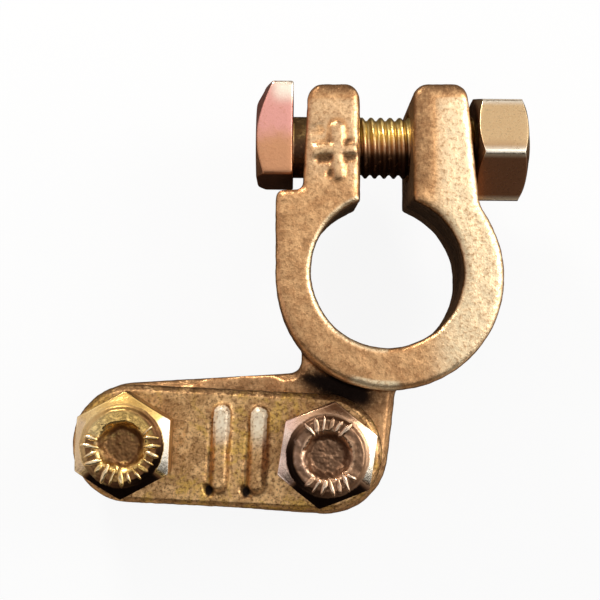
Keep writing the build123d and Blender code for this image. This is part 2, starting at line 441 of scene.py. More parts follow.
def evaluated_mesh(piece: bpy.types.Object, name: str) -> bpy.types.Mesh:
    """The mesh that an object's modifiers give.

    Args:
        piece: The object.
        name: Name of the mesh.

    Returns:
        The mesh.
    """
    graph = bpy.context.evaluated_depsgraph_get()
    mesh = bpy.data.meshes.new_from_object(piece.evaluated_get(graph), depsgraph=graph)
    mesh.name = name
    return mesh


def settle(piece: bpy.types.Object) -> None:
    """Turn an object's modifiers into plain mesh.

    Args:
        piece: The object.
    """
    mesh = evaluated_mesh(piece, piece.name)
    piece.modifiers.clear()
    piece.data = mesh


def merged_copy(node: str, name: str) -> bpy.types.Object:
    """A copy of a CAD node with its loose triangles joined up.

    Args:
        node: Name of the CAD node.
        name: Name of the copy.

    Returns:
        The copy, without a material.
    """
    mesh = frame["nodes"][node].data.copy()
    mesh.materials.clear()
    work = bmesh.new()
    work.from_mesh(mesh)
    bmesh.ops.remove_doubles(work, verts=work.verts, dist=1e-7)
    work.to_mesh(mesh)
    work.free()
    return new_piece(name, mesh)


def cast_skin(piece: bpy.types.Object, voxel: float, rounds: int) -> None:
    """Rebuild a solid as an even skin with softened edges.

    Args:
        piece: The solid.
        voxel: Size of the skin's squares, in metres.
        rounds: Rounds of smoothing.
    """
    remesh = piece.modifiers.new("skin", "REMESH")
    remesh.mode = "VOXEL"
    remesh.voxel_size = voxel
    soften = piece.modifiers.new("soften", "SMOOTH")
    soften.factor = 0.5
    soften.iterations = rounds
    settle(piece)


@dataclass(frozen=True)
class Relief:
    """A raised or sunk stroke on an upper face; places are in millimetres, height below 0 sinks."""

    start: Span
    end: Span
    width: float
    height: float

    def lift(self, place: Vector) -> float:
        """Height that the stroke adds.

        Args:
            place: A place seen from above, in millimetres.

        Returns:
            The height, in millimetres.
        """
        start, end = Vector(self.start), Vector(self.end)
        run = end - start
        length = run.length_squared
        share = 0.0 if length == 0 else min(1.0, max(0.0, (place - start).dot(run) / length))
        distance = (place - start - run * share).length
        outer, inner = (self.width * part for part in STROKE_SIDE)
        return self.height * smooth_step(distance, outer, inner)


def emboss(piece: bpy.types.Object, strokes: Sequence[Relief], floor: float) -> None:
    """Raise or sink strokes on the faces that look up.

    Args:
        piece: The finely meshed piece.
        strokes: The strokes.
        floor: Only points above this height take part, in millimetres.
    """
    upward = [vertex.normal.z > LOOKS_UP for vertex in piece.data.vertices]
    for vertex, faces_up in zip(piece.data.vertices, upward):
        if vertex.co.z < floor * MM or not faces_up:
            continue
        place = Vector((vertex.co.x / MM, vertex.co.y / MM))
        lifts = [stroke.lift(place) for stroke in strokes]
        vertex.co.z += (max(0.0, *lifts) + min(0.0, *lifts)) * MM


def roughen(piece: bpy.types.Object, grain: float, depth: float, seed: float,
            share: Optional[Callable[[Vector], float]] = None) -> None:
    """Push a mesh in and out along its normals by smooth noise.

    Args:
        piece: The finely meshed piece.
        grain: Size of the bumps, in millimetres.
        depth: Height of the bumps, in millimetres.
        seed: Shifts the noise, so that pieces differ.
        share: Gives how much of the depth counts at a place, from 0 to 1; all of it if not given.
    """
    mesh = piece.data
    normals = [vertex.normal.copy() for vertex in mesh.vertices]
    shift = Vector((seed, seed, seed))
    for vertex, normal in zip(mesh.vertices, normals):
        place = vertex.co / (MM * grain) + shift
        bumps = noise.fractal(place, *BUMP_NOISE) * (share(vertex.co / MM) if share else 1.0)
        vertex.co += normal * bumps * depth * MM


def paint(piece: bpy.types.Object, rule: Callable[[Spot], float], rounds: int = 0) -> None:
    """Store how each point is painted: shade, highlights, grime and wear, for the finishes to read.

    Args:
        piece: The piece.
        rule: Gives -1 (full painted highlight) to 1 (black painted shade) for a point.
        rounds: How widely hollows are looked for, or 0 for a piece whose hollows don't count.
    """
    mesh = piece.data
    hollows = hollowness(mesh, rounds) if rounds else [0.0] * len(mesh.vertices)
    layer = mesh.attributes.new(LIGHT_AND_GRIME, "FLOAT", "POINT")
    for vertex, hollow in zip(mesh.vertices, hollows):
        light_and_grime = rule(Spot(vertex.co / MM, vertex.normal, hollow))
        layer.data[vertex.index].value = min(1.0, max(-1.0, light_and_grime))


def point_rows(mesh: bpy.types.Mesh, key: str) -> np.ndarray:
    """A property of a mesh's points.

    Args:
        mesh: The mesh.
        key: The property: co or normal.

    Returns:
        One row of three numbers for each point.
    """
    numbers = np.empty(3 * len(mesh.vertices))
    mesh.vertices.foreach_get(key, numbers)
    return numbers.reshape(-1, 3)


def hollowness(mesh: bpy.types.Mesh, rounds: int) -> list[float]:
    """How far each point lies in a hollow (above 0) or on a crest (below 0) of the surface.

    Args:
        mesh: The evenly meshed piece.
        rounds: Rounds of averaging, which set the size of the hollows that count.

    Returns:
        One number for each point, from -1 to 1.
    """
    ends = np.empty(2 * len(mesh.edges), dtype=np.int64)
    mesh.edges.foreach_get("vertices", ends)
    first, second = ends[0::2], ends[1::2]
    places, normals = point_rows(mesh, "co"), point_rows(mesh, "normal")
    degree = np.bincount(ends, minlength=len(places))[:, None]
    spread = places
    for _ in range(rounds):
        total = np.zeros_like(spread)
        np.add.at(total, first, spread[second])
        np.add.at(total, second, spread[first])
        spread = total / degree
    depth = ((spread - places) * normals).sum(axis=1) / MM
    return np.clip(depth / FULL_HOLLOW, -1.0, 1.0).tolist()


def shade(piece: bpy.types.Object, finish: bpy.types.Material) -> None:
    """Smooth-shade a piece and give it its finish.

    Args:
        piece: The piece.
        finish: Its only material.
    """
    piece.data.materials.clear()
    piece.data.materials.append(finish)
    for face in piece.data.polygons:
        face.use_smooth = True
        face.material_index = 0


def hand_over(piece: bpy.types.Object, node: str, slot: str) -> None:
    """Let a piece stand for a CAD node, on that node's body.

    Args:
        piece: The piece.
        node: Name of the CAD node.
        slot: Material slot that the node has in the record; not used.
    """
    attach(piece, frame["nodes"][node]["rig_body"])
    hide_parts(node)


def add_mesh(work: bmesh.types.BMesh, mesh: bpy.types.Mesh, place: Matrix, slot: int = 0) -> None:
    """Add a mesh in millimetres to a piece in metres.

    Args:
        work: The piece so far.
        mesh: What to add.
        place: Where it goes, in metres, without the scale.
        slot: Its place in the piece's list of materials.
    """
    mesh.transform(place @ Matrix.Scale(MM, 4))
    before = len(work.faces)
    work.from_mesh(mesh)
    work.faces.ensure_lookup_table()
    for index in range(before, len(work.faces)):
        work.faces[index].smooth = True
        work.faces[index].material_index = slot
    bpy.data.meshes.remove(mesh)


def raised(height: float) -> Matrix:
    """A move along Z by so many millimetres."""
    return Matrix.Translation((0, 0, height * MM))


def finish_piece(work: bmesh.types.BMesh, name: str,
                 finishes: Sequence[bpy.types.Material]) -> bpy.types.Object:
    """Make the collected mesh an object with its finishes.

    Args:
        work: The collected mesh.
        name: Name of the piece.
        finishes: Its materials.

    Returns:
        The piece.
    """
    mesh = bpy.data.meshes.new(name)
    work.to_mesh(mesh)
    work.free()
    for finish in finishes:
        mesh.materials.append(finish)
    return new_piece(name, mesh)


# ---- Heads and nuts --------------------------------------------------------------------------
@dataclass(frozen=True)
class Polygon:
    """A regular polygon with slightly rounded corners, as a radius at each angle."""

    sides: int
    across: float
    sharpness: float = 160.0

    def radius(self, angle: float) -> float:
        """Distance from the middle to the outline.

        Args:
            angle: Turn about the middle, from a side's middle.

        Returns:
            The distance, in the units of across.
        """
        total = 0.0
        for side in range(self.sides):
            toward = math.cos(angle - math.tau * side / self.sides)
            if toward > 0:
                total += toward ** self.sharpness
        return self.across / 2 / total ** (1 / self.sharpness)


@dataclass(frozen=True)
class Blank:
    """A forged head or nut: a polygon with a chamfer on top, and on both sides if it is a nut."""

    outline: Polygon
    height: float
    crown: float                # radius at which the chamfer starts
    edge: float                 # rounding of the outer edges
    offset: float = 0.0         # how far the crown's middle lies off the outline's, along -Y
    slope: float = 30.0         # of the chamfer, in degrees
    shoulder: float = 0.0       # radius at which a step falls from a raised rim, 0 for none
    shoulder_drop: float = 0.0
    hole: float = 0.0           # radius of the hole, 0 for none
    dish: float = 0.0           # radius of a dish in the top, 0 for none
    dish_floor: float = 0.0     # radius of its flat floor
    dish_depth: float = 0.0
    soft: float = 0.15          # how widely the chamfer's rim is rounded
    rings: int = 34
    lower_every: int = 3        # the lower face has only every third of the rings
    around: int = 144
    edge_steps: int = 5
    side_steps: int = 6
    hole_shares: tuple[float, ...] = (0.05, 0.2, 0.35, 0.5, 0.65, 0.8, 0.95)

    def fall(self, radius: float) -> float:
        """How far the chamfer lies below the top.

        Args:
            radius: Distance from the crown's middle.

        Returns:
            The depth.
        """
        soft = self.soft
        slope = math.tan(math.radians(self.slope))
        fall = slope * soft * math.log1p(math.exp((radius - self.crown) / soft))
        if self.shoulder:
            fall += self.shoulder_drop * smooth_step(radius, self.shoulder, self.crown)
        return fall

    def top(self, radius: float) -> float:
        """Height of the upper face.

        Args:
            radius: Distance from the crown's middle.

        Returns:
            The height above the seat.
        """
        height = self.height - self.fall(radius)
        if self.dish:
            height -= self.dish_depth * (1 - smooth_step(radius, self.dish_floor, self.dish))
        return height

    def bottom(self, radius: float) -> float:
        """Height of the lower face at a radius."""
        return self.fall(radius) if self.hole else 0.0

    def stations(self, angle: float) -> list[tuple[float, float]]:
        """The section at one angle, from the top's middle to the bottom's.

        Args:
            angle: Turn about the middle, from a side's middle.

        Returns:
            Radius and height of each point.
        """
        reach = self.outline.radius(angle)
        edge, rim = self.edge, reach - self.edge
        steps = np.linspace(self.hole, rim, self.rings + 1).tolist()
        across, ahead = math.cos(angle), math.sin(angle)
        points = [(radius, self.top(math.hypot(radius * across, radius * ahead + self.offset)))
                  for radius in steps]
        turns = [math.pi / 2 * step / self.edge_steps for step in range(self.edge_steps + 1)]
        upper, lower = points[-1][1], self.bottom(rim)
        points += [(rim + edge * math.sin(turn), upper - edge * (1 - math.cos(turn)))
                   for turn in turns[1:]]
        points += [(reach, upper - edge + (lower - upper + 2 * edge) * step / self.side_steps)
                   for step in range(1, self.side_steps)]
        points += [(rim + edge * math.cos(turn), lower + edge * (1 - math.sin(turn)))
                   for turn in turns]
        points += [(radius, self.bottom(radius)) for radius in reversed(steps[:-1:self.lower_every])]
        if self.hole:
            points += [(self.hole, self.height * share) for share in self.hole_shares]
        return points

    def mesh(self, name: str) -> bpy.types.Mesh:
        """The head, standing on the XY plane, in millimetres.

        Args:
            name: Name of the mesh.

        Returns:
            The mesh.
        """
        work = bmesh.new()
        columns = []
        for index in range(self.around):
            angle = math.tau * index / self.around
            columns.append([work.verts.new((math.cos(angle) * radius, math.sin(angle) * radius,
                                            height)) for radius, height in self.stations(angle)])
        for index, column in enumerate(columns):
            other = columns[(index + 1) % self.around]
            count = len(column)
            pairs = range(count) if self.hole else range(count - 1)
            for step in pairs:
                following = (step + 1) % count
                work.faces.new((column[step], column[following], other[following], other[step]))
        bmesh.ops.remove_doubles(work, verts=work.verts, dist=1e-5)
        bmesh.ops.recalc_face_normals(work, faces=work.faces)
        mesh = bpy.data.meshes.new(name)
        work.to_mesh(mesh)
        work.free()
        return mesh


# ---- Geometry node trees ---------------------------------------------------------------------
class NodeTree(Nodes):
    """A Geometry Nodes tree with named inputs, which ends as plain mesh in one material."""

    def __init__(self, name: str, inputs: dict[str, float]) -> None:
        """Make the tree and its inputs.

        Args:
            name: Name of the tree.
            inputs: Its inputs and what they get; a whole number makes a whole-number input.
        """
        super().__init__(bpy.data.node_groups.new(name, "GeometryNodeTree"))
        self.inputs = inputs
        kinds = {key: "Int" if isinstance(value, int) else "Float" for key, value in inputs.items()}
        for key, kind in {**kinds, "Finish": "Material"}.items():
            self.tree.interface.new_socket(key, in_out="INPUT", socket_type="NodeSocket" + kind)
        self.tree.interface.new_socket("Mesh", in_out="OUTPUT",
                                       socket_type="NodeSocketGeometry")
        self.entry = self.node("NodeGroupInput", {})

    def given(self, key: str) -> Value:
        """The input of that name."""
        return Value(self, self.entry.outputs[key])

    def position(self) -> tuple[Value, ...]:
        """X, Y and Z of a point."""
        return self.parts(self.value("GeometryNodeInputPosition", {}))

    def close(self, geometry: Value) -> None:
        """End the tree: realise the copies and set the finish.

        Args:
            geometry: What the tree has made.
        """
        real = self.value("GeometryNodeRealizeInstances", {0: geometry})
        dressed = self.value("GeometryNodeSetMaterial",
                             {"Geometry": real, "Material": self.given("Finish")})
        self.node("NodeGroupOutput", {0: dressed})

    def grow(self, name: str, finish: bpy.types.Material) -> bpy.types.Mesh:
        """Run the tree and give its plain mesh.

        Args:
            name: Name of the mesh.
            finish: Material of the mesh.

        Returns:
            The mesh, in the units of the inputs.
        """
        carrier = new_piece(name + "_carrier", bpy.data.meshes.new(name + "_seed"))
        modifier = carrier.modifiers.new("grow", "NODES")
        modifier.node_group = self.tree
        values = {**self.inputs, "Finish": finish}
        for item in self.tree.interface.items_tree:
            if item.in_out == "INPUT":
                modifier[item.identifier] = values[item.name]
        mesh = evaluated_mesh(carrier, name)
        carrier.modifiers.clear()
        bpy.data.objects.remove(carrier)
        return mesh


class ThreadTree(NodeTree):
    """A threaded shank: a tube of rings whose radius follows the helix of the thread."""

    rings_a_turn = 10
    around = 72
    flank: Span = (0.12, 0.92)      # where a flank runs, from the crest at 0 to the valley at 1
    run_out = 1.5

    def __init__(self, length: float, depth: float, plain: float, point: float = 0.8) -> None:
        """Build the tree; lengths are in millimetres, from z = 0 down to -length.

        Args:
            length: Of the shank.
            depth: Of the thread.
            plain: Length without a thread, below the head.
            point: Chamfer of the shank's end.
        """
        super().__init__("threaded_shank", {
            "Radius": THREAD_RADIUS, "Length": length, "Pitch": PITCH, "Depth": depth,
            "Plain": plain, "Point": point, "Around": self.around,
            "Rings": int(length / PITCH * self.rings_a_turn)})
        radius, length_in, plain_in = (self.given(key) for key in ("Radius", "Length", "Plain"))
        bar = self.value("GeometryNodeMeshCylinder", {
            "Vertices": self.given("Around"), "Side Segments": self.given("Rings"),
            "Depth": length_in, "Radius": 1.0}, fill_type="TRIANGLE_FAN")
        x, y, z = self.position()
        down = length_in / 2.0 - z
        turns = down / self.given("Pitch") + self.math("ARCTAN2", y, x) / math.tau
        phase = self.math("FRACT", turns + 1.0)
        ramp = self.math("ABSOLUTE", phase * 2.0 - 1.0)
        cut = ramp.rise(*self.flank) * self.given("Depth")
        cut = cut * down.rise(plain_in, plain_in + self.run_out)
        tip = radius - self.given("Point") + (length_in - down)
        width = self.math("MINIMUM", radius - cut, tip)
        place = self.joined(x * width, y * width, down * -1.0)
        self.close(self.value("GeometryNodeSetPosition", {"Geometry": bar, "Position": place}))


class RidgeTree(NodeTree):
    """Short forged ridges set round a circle, each pointing at the middle, with bare stretches."""

    spreads = (("Long", 0.6, 1.15), ("Wide", 0.7, 1.4), ("High", 0.55, 1.2))
    stray_turn = 0.28
    stray_end = 0.25

    def __init__(self, count: int, lobes: float, phase: float, bare: float, seed: int) -> None:
        """Build the tree; lengths are in millimetres.

        Args:
            count: Ridges round the whole circle, before some are left out.
            lobes: How many ridged stretches there are.
            phase: Turns the stretches, in radians.
            bare: From -1 to 1: the larger it is, the shorter the ridged stretches.
            seed: Seed of the random sizes.
        """
        super().__init__("radial_ridges", {
            "Count": count, "Radius": 4.0, "Long": 2.5, "Wide": 0.62, "High": 0.75,
            "Lobes": lobes, "Phase": phase, "Bare": bare, "Seed": seed})
        circle = self.value("GeometryNodeMeshCircle", {
            "Vertices": self.given("Count"), "Radius": self.given("Radius")})
        bead = self.value("GeometryNodeMeshUVSphere", {"Segments": 12, "Rings": 8, "Radius": 0.5})
        x, y, _ = self.position()
        angle = self.math("ARCTAN2", y, x)
        wave = self.math("SINE", angle * self.given("Lobes") + self.given("Phase"))
        stray = wave + self.random(-self.stray_end, self.stray_end, 5)
        keep = self.math("GREATER_THAN", stray, self.given("Bare"))
        turn = angle + self.random(-self.stray_turn, self.stray_turn, 4)
        sizes = (self.given(key) * self.random(low, high, step)
                 for step, (key, low, high) in enumerate(self.spreads, 1))
        self.close(self.value("GeometryNodeInstanceOnPoints", {
            "Points": circle, "Selection": keep, "Instance": bead,
            "Rotation": self.joined(0.0, 0.0, turn), "Scale": self.joined(*sizes)}))

    def wave(self, angle: float) -> float:
        """Above 0 where the stretch at an angle has ridges."""
        inputs = self.inputs
        return math.sin(angle * inputs["Lobes"] + inputs["Phase"]) - inputs["Bare"]

    def random(self, low: float, high: float, step: int) -> Value:
        """A random number for each ridge.

        Args:
            low: Least value.
            high: Largest value.
            step: Tells one use from another.

        Returns:
            The number.
        """
        seed = self.given("Seed") + float(step)
        return self.value("FunctionNodeRandomValue", {2: low, 3: high, "Seed": seed}, 1,
                          data_type="FLOAT")


# ---- Sub-assemblies --------------------------------------------------------------------------
@dataclass
class CastPiece:
    """A cast piece: its CAD node with an even skin, strokes, painted shade and highlights, and a
    rough face.
    """

    node: str
    name: str
    slot: str
    finish: Finish
    voxel: float                # size of the skin's squares
    softening: int              # rounds of smoothing
    stroke_floor: float         # only points above it take the strokes
    bump_size: float
    bump_height: float
    seed: float

    def strokes(self) -> list[Relief]:
        """The strokes on its upper face."""
        raise NotImplementedError

    def light_and_grime(self, spot: Spot) -> float:
        """How a point is painted: -1 for a full painted highlight, 0 for plain metal, to 1 for black
        shade.
        """
        raise NotImplementedError

    def build(self) -> bpy.types.Object:
        """Build and dress the piece."""
        piece = merged_copy(self.node, self.name)
        cast_skin(piece, self.voxel * MM, self.softening)
        emboss(piece, self.strokes(), self.stroke_floor)
        paint(piece, self.light_and_grime, HOLLOW_ROUNDS)
        roughen(piece, self.bump_size, self.bump_height, self.seed)
        shade(piece, self.finish.material())
        hand_over(piece, self.node, self.slot)
        return piece


@dataclass
class Casting(CastPiece):
    """The clamp's body: ring, ears and side arm in one casting, with a raised plus sign.

    Each fade of its paint ends its name with what it runs over: up is the upward part of the
    normal, x, y and z are places, and radius is the distance from the post's axis.
    """

    node: str = "clamp_body"
    name: str = "casting"
    slot: str = "body_brass"
    finish: Finish = Finish.BODY
    voxel: float = 0.24
    softening: int = 6
    stroke_floor: float = 15.0
    bump_size: float = 1.6
    bump_height: float = 0.05
    seed: float = 3.0
    sign: Span = (-6.5, 15.0)           # middle of the plus sign
    sign_reach: Span = (2.2, 2.8)       # half lengths of its arms
    stroke: float = 1.5
    rise: float = 0.36
    skew: float = 0.1
    upright_shift: float = 0.35
    # Dents by the sign: place, length, width and depth.
    dents: tuple = ((-1.7, -1.0, 0.9, 1.2, -0.26), (1.3, -0.9, 0.8, 1.1, -0.26),
                    (1.5, 1.0, 0.3, 0.9, -0.18), (-0.6, -2.9, 0.1, 1.0, -0.22),
                    (-2.4, 2.6, 0.4, 1.3, -0.12))
    # Painted shade: on flanks, in the bore and at its foot, on the ears, and as the ring's shadow
    # by the arm; shade with tarnish in hollows, and a painted highlight with wear on crests.
    flank_up: Fade = Fade(0.6, 0.05, 0.5)
    crest_up: Fade = Fade(0.2, 0.6, 0.8)
    hollow_darkening: float = 0.7
    bore_radius: float = 9.95
    bore_top: float = 15.6
    bore_shade: float = 0.72
    foot_radius: float = 10.6
    foot_top: float = 15.0
    foot_shade: float = 0.55
    corner_x: Fade = Fade(-2.5, 0.5, 0.5)
    corner_y: Fade = Fade(-10.5, -13.5)
    corner_z: Fade = Fade(6.0, 3.0)
    corner_radius: Fade = Fade(19.5, 16.0)
    ear_end_y: Fade = Fade(21.0, 23.2, 0.7)
    ear_side_x: Fade = Fade(6.8, 4.8, 0.5)
    ear_side_y: Fade = Fade(8.0, 12.0)
    # Painted highlights on edges: the ring's front, the bore's left rim and the left ear's right
    # side.
    edge_z: float = 14.5
    front_y: float = -11.0
    front_radius: Fade = Fade(13.3, 13.8)
    front_angle: float = -0.12
    front_turn: Fade = Fade(0.30, 0.10)
    rim_z: float = 15.2
    rim_radius: Fade = Fade(10.3, 9.8, 0.6)
    left_ear_x: float = -3.0
    left_edge_x: Fade = Fade(-4.9, -4.2, 0.8)
    left_foot_y: Fade = Fade(8.0, 11.0)
    left_end_y: Fade = Fade(22.0, 19.5)
    highlight_strength: float = 1.2
    # Painted light on upward faces: on the left ear, and over the whole right side.
    sheen_left_y: Fade = Fade(8.0, 14.0, 0.32)
    sheen_right_x: Fade = Fade(3.0, 9.0, 0.7)
    sheen_up: Fade = Fade(0.3, 0.8)
    sheen_darkening: Fade = Fade(0.4, 0.1)

    def strokes(self) -> list[Relief]:
        """The plus sign and the dents that its die left round it."""
        (x, y), (reach_x, reach_y), skew = self.sign, self.sign_reach, self.skew
        shifted = x + self.upright_shift
        sign = [((x - reach_x, y), (x + reach_x, y + skew)),
                ((shifted, y + reach_y), (shifted + skew, y - reach_y))]
        dents = [Relief((x + dx, y + dy), (x + dx + long, y + dy + skew), wide, depth)
                 for dx, dy, long, wide, depth in self.dents]
        return [Relief(start, end, self.stroke, self.rise) for start, end in sign] + dents

    def darkening(self, spot: Spot, radius: float) -> float:
        """How dark the casting is painted: shade on its flanks, ears and bore, shade with tarnish
        in its hollows, and the ring's shadow by the arm.

        Args:
            spot: A point of the casting.
            radius: Its distance from the post's axis, in millimetres.

        Returns:
            0 for plain brass to 1 for black.
        """
        x, y, z = spot.place
        up = spot.normal.z
        relief = spot.hollow * (self.crest_up.at(up) if spot.hollow < 0 else self.hollow_darkening)
        # The ring's shadow, painted on the arm beside it.
        corner = self.corner_y.at(y) * self.corner_z.at(z) * self.corner_radius.at(radius)
        layers = [self.flank_up.at(up) + relief, corner * (1 - self.corner_x.at(x)),
                  self.ear_end_y.at(y)]
        # Painted shade in the bore and at its foot, and on the right ear's inner side.
        if radius < self.bore_radius and z < self.bore_top:
            layers.append(self.bore_shade)
        if radius < self.foot_radius and z < self.foot_top:
            layers.append(self.foot_shade)
        if x > 0:
            layers.append(self.ear_side_x.at(x) * self.ear_side_y.at(y))
        return max(layers)

    def edge_highlight(self, spot: Spot, radius: float) -> float:
        """Painted highlight on an edge: the ring's front, the bore's rim or the left ear's right
        side.

        Args:
            spot: A point of the casting.
            radius: Its distance from the post's axis, in millimetres.

        Returns:
            0 for none to 1.
        """
        x, y, z = spot.place
        if z > self.edge_z and y < self.front_y:
            turn = abs(math.atan2(x, -y) - self.front_angle)
            return self.front_radius.at(radius) * self.front_turn.at(turn)
        if z > self.rim_z and x < 0:
            return self.rim_radius.at(radius)
        if z > self.edge_z and x < self.left_ear_x:
            return self.left_edge_x.at(x) * self.left_foot_y.at(y) * self.left_end_y.at(y)
        return 0.0

    def light_and_grime(self, spot: Spot) -> float:
        """How the casting is painted: shade, highlights, tarnish and wear.

        Args:
            spot: A point of the casting.

        Returns:
            -1 for a full painted highlight, 0 for plain brass, to 1 for black painted shade.
        """
        x, y, _ = spot.place
        radius = math.hypot(x, y)
        darkening = self.darkening(spot, radius)
        sheen = self.sheen_left_y.at(y) if x < 0 else self.sheen_right_x.at(x)
        sheen *= self.sheen_up.at(spot.normal.z) * self.sheen_darkening.at(darkening)
        return darkening - self.highlight_strength * self.edge_highlight(spot, radius) - sheen


@dataclass
class CableStrap(CastPiece):
    """The ribbed strap, with a sunk line beside each rib and a pit at its foot."""

    node: str = "cable_strap"
    name: str = "ribbed_strap"
    slot: str = "strap_brass"
    finish: Finish = Finish.STRAP
    voxel: float = 0.2
    softening: int = 5
    stroke_floor: float = 4.6
    bump_size: float = 1.3
    bump_height: float = 0.06
    seed: float = 11.0
    turn: float = -2.75
    rib_x: Span = (-0.85, 4.05)
    rib_width: float = 2.5
    rib_reach: float = 5.6
    rib_z: float = 5.35
    line_gap: float = 0.15
    # Marks to the left of a rib, from the line's foot: start, end, width and depth.
    marks: tuple = ((0.0, 8.7, 0.0, 0.0, 0.5, -0.16), (0.0, 4.6, 0.0, 0.0, 0.6, -0.26),
                    (0.0, 0.3, 0.3, -0.1, 1.1, -0.5))
    # Painted shade on flanks and faces that look back, a highlight on rib tops, shadows in the pits.
    flank_up: Fade = Fade(0.8, 0.1, 0.45)
    back_y: Fade = Fade(0.2, 0.5, 0.6)
    rib_y: Fade = Fade(-1.5, 4.2, 0.95)
    pit: Fade = Fade(0.9, 0.35)
    pit_squash: float = 0.8
    hollow_darkening: float = 0.5

    def __post_init__(self) -> None:
        """Find the strap's middle, in millimetres."""
        low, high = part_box("cable_strap")
        self.middle = (low + high) / 2 / MM

    def spot(self, x: float, y: float) -> Span:
        """A place of the strap's own axes, on the object's axes, in millimetres."""
        spot = Matrix.Rotation(math.radians(self.turn), 2) @ Vector((x, y))
        return self.middle.x + spot.x, self.middle.y + spot.y

    def own(self, place: Vector) -> Span:
        """A place on the strap's own axes, in millimetres.

        Args:
            place: The place on the object's axes.

        Returns:
            Its X and Y.
        """
        arm = Vector((place.x - self.middle.x, place.y - self.middle.y))
        spot = Matrix.Rotation(-math.radians(self.turn), 2) @ arm
        return spot.x, spot.y

    def strokes(self) -> list[Relief]:
        """A sunk line to the left of each rib, deeper at its lower half, and a pit at its foot."""
        strokes = []
        for rib in self.rib_x:
            left, foot = rib - self.rib_width / 2 - self.line_gap, -self.rib_reach
            strokes += [Relief(self.spot(left + x0, foot + y0), self.spot(left + x1, foot + y1),
                               width, depth) for x0, y0, x1, y1, width, depth in self.marks]
        return strokes

    def light_and_grime(self, spot: Spot) -> float:
        """How the strap is painted: shade, shadows in the pits, and highlights on the rib tops.

        Args:
            spot: A point of the strap.

        Returns:
            -1 for a full painted highlight, 0 for plain tarnish, to 1 for black painted shadow.
        """
        x, y = self.own(spot.place)
        # Tops of the ribs: a painted highlight, strongest at their upper ends.
        if spot.place.z > self.rib_z:
            return -self.rib_y.at(y)
        # Painted shadow in the pits, shade on flanks and faces that look back, shade and tarnish in
        # hollows.
        pits = [self.pit.at(math.hypot(x - rib + self.rib_width / 2,
                                       (y + self.rib_reach) * self.pit_squash))
                for rib in self.rib_x]
        return max(self.flank_up.at(spot.normal.z), self.back_y.at(spot.normal.y),
                   self.hollow_darkening * spot.hollow, *pits)


